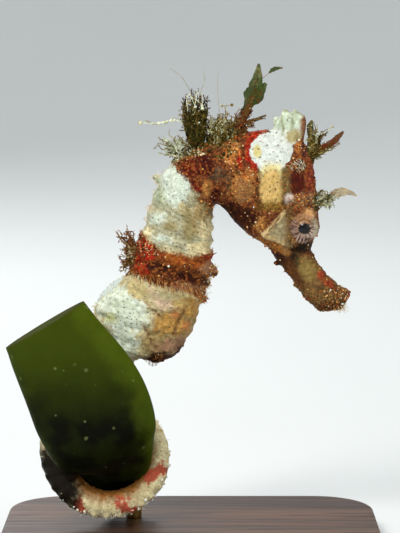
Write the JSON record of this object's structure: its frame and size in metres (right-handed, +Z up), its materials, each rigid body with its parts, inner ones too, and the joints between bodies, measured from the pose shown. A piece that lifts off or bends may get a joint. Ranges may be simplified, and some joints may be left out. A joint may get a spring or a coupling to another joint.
{
  "type": "seahorse display model",
  "caption": "Life-size seahorse with a weed-tufted neck and hanging head, its tail curled round a cut seaweed stalk on a flat display stand.",
  "frame": {"origin": "centre of the stand base's underside, at the bottom centre of the bounding box", "axes": "+Z up; +X is the way the seahorse faces; its right side is towards -Y and its mid plane is near y = 0"},
  "size_m": [0.076, 0.05, 0.0975],
  "materials": {
    "skin": "semi-matte, white and cream patches with red-brown bands and dark dots",
    "head_skin": "semi-matte, mottled red, maroon, tan and white",
    "eye": "wet gloss",
    "fin": "thin rayed membrane",
    "growth": "matt olive-brown, weed-like",
    "stalk": "smooth, fleshy, dark olive green",
    "base": "dark satin hardwood",
    "rod": "satin brass"
  },
  "bodies": {
    "root": {"snout": "head_skin", "head": "head_skin", "neck": "head_skin", "coronet": "skin", "trunk_upper": "skin", "trunk_lower": "skin", "tail_1": "skin", "tail_2": "skin", "tail_3": "skin", "tail_4": "skin", "tail_5": "skin", "tail_6": "skin", "eye_right": "eye", "eye_left": "eye", "dorsal_fin": "fin", "anal_fin": "fin", "pectoral_fin_right": "fin", "pectoral_fin_left": "fin", "tuft_neck": "growth", "tuft_shoulder": "growth", "tuft_nape": "growth", "frond_nape": "growth", "tuft_forehead": "growth", "frond_brow_right": "growth", "frond_brow_left": "growth", "growth_back": "growth", "perch_stalk": "stalk", "stand_rod": "rod", "stand_base": "base"}
  },
  "joints": []
}
